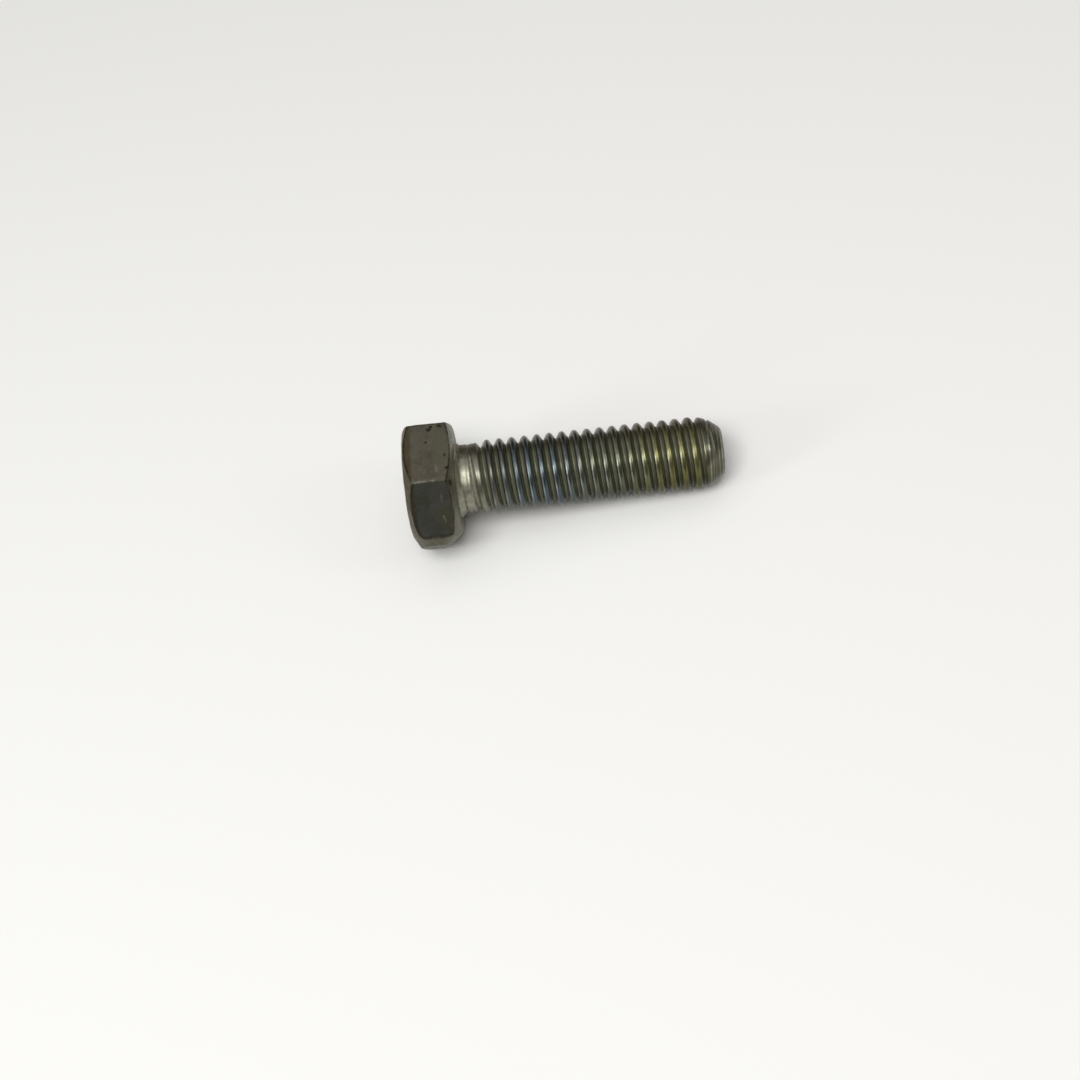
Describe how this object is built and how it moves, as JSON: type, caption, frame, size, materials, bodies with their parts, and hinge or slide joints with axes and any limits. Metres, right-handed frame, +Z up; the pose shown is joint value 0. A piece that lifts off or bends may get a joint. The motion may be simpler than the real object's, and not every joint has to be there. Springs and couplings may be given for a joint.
{
  "type": "hexagon head screw",
  "caption": "Hexagon head screw, fully threaded: its head clamps a part when the shank is turned into a tapped hole or a nut with a spanner.",
  "frame": {"origin": "on the ground, under the middle of the screw's bounding box as it lies at rest", "axes": "+Z up; +X from the head towards the tip, over the ground; +Y to the left of that direction, away from the viewer of the picture"},
  "size_m": [0.0256, 0.0108, 0.0099],
  "materials": {
    "plated_steel": "dull zinc-plated steel, stained and lightly dirty"
  },
  "bodies": {
    "root": {"hex_screw": "plated_steel"}
  },
  "joints": []
}
